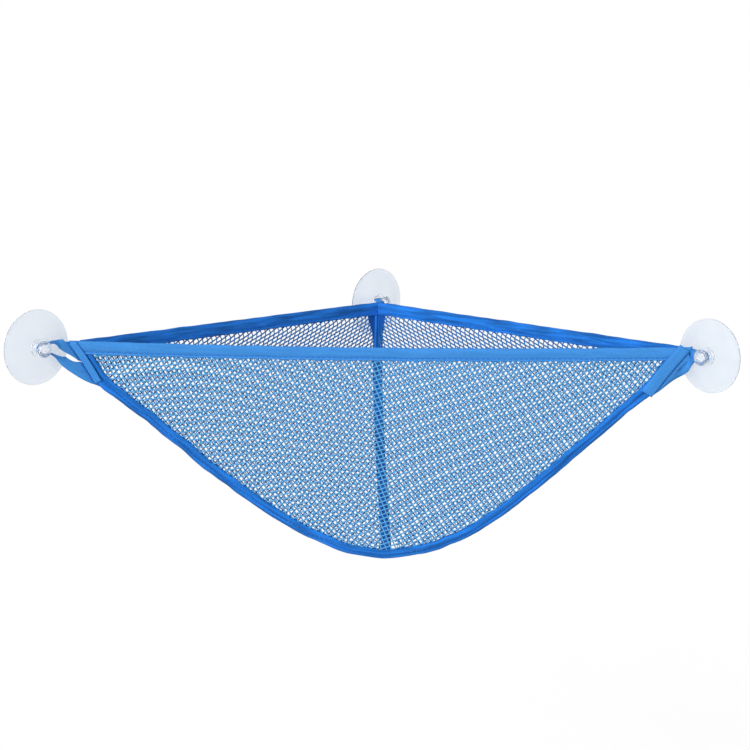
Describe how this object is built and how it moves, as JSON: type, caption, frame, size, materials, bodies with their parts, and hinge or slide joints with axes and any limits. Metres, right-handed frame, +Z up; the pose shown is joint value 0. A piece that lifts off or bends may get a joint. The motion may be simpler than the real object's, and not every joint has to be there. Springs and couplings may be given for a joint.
{
  "type": "corner net bag",
  "caption": "Corner-hung net bag for bath toys: flat front panel and back panels bound with woven tape, hung by tape loops from clear suction cups on the walls of a room corner.",
  "frame": {"origin": "on the upright edge where the two walls of the room corner meet, at the height of the suction cups' axes", "axes": "+Y points into the corner, midway between the walls; +X points right, seen from the room; +Z is up"},
  "size_m": [0.525, 0.2776, 0.197],
  "materials": {
    "net": "knitted polyester net",
    "tape": "woven polyester binding tape",
    "cup": "clear soft moulding"
  },
  "bodies": {
    "net_bag": {"front_net": "net", "front_rim_tape": "tape", "front_seam_tape": "tape", "back_left_net": "net", "back_left_rim_tape": "tape", "back_right_net": "net", "back_right_rim_tape": "tape", "back_seam_tape": "tape"},
    "left_strap": {"left_loop": "tape"},
    "right_strap": {"right_loop": "tape"},
    "back_strap": {"back_loop": "tape"},
    "left_cup": {"left_suction_cup": "cup"},
    "right_cup": {"right_suction_cup": "cup"},
    "back_cup": {"back_suction_cup": "cup"}
  },
  "joints": [
    {"name": "left_loop_swing", "type": "hinge", "parent": "net_bag", "child": "left_strap", "pos_m": [-0.22892, -0.24911, -0.01336], "axis": [-0.4771, -0.2403, 0.8454], "range_deg": [-25, 25]},
    {"name": "right_loop_swing", "type": "hinge", "parent": "net_bag", "child": "right_strap", "pos_m": [0.19948, -0.22289, -0.01342], "axis": [0.5611, -0.1681, 0.8105], "range_deg": [-20, 20]},
    {"name": "back_loop_swing", "type": "hinge", "parent": "net_bag", "child": "back_strap", "pos_m": [-0.0146, -0.0509, -0.01002], "axis": [-0.0082, 0.1349, 0.9908], "range_deg": [-25, 25]},
    {"name": "left_cup_turn", "type": "hinge", "parent": "left_strap", "child": "left_cup", "pos_m": [-0.25453, -0.26598, 0], "axis": [0.7071, -0.7071, 0], "continuous": true},
    {"name": "right_cup_turn", "type": "hinge", "parent": "right_strap", "child": "right_cup", "pos_m": [0.22037, -0.23183, 0], "axis": [-0.7071, -0.7071, 0], "continuous": true},
    {"name": "back_cup_turn", "type": "hinge", "parent": "back_strap", "child": "back_cup", "pos_m": [-0.01617, -0.02763, 0], "axis": [0.7071, -0.7071, 0], "continuous": true}
  ]
}
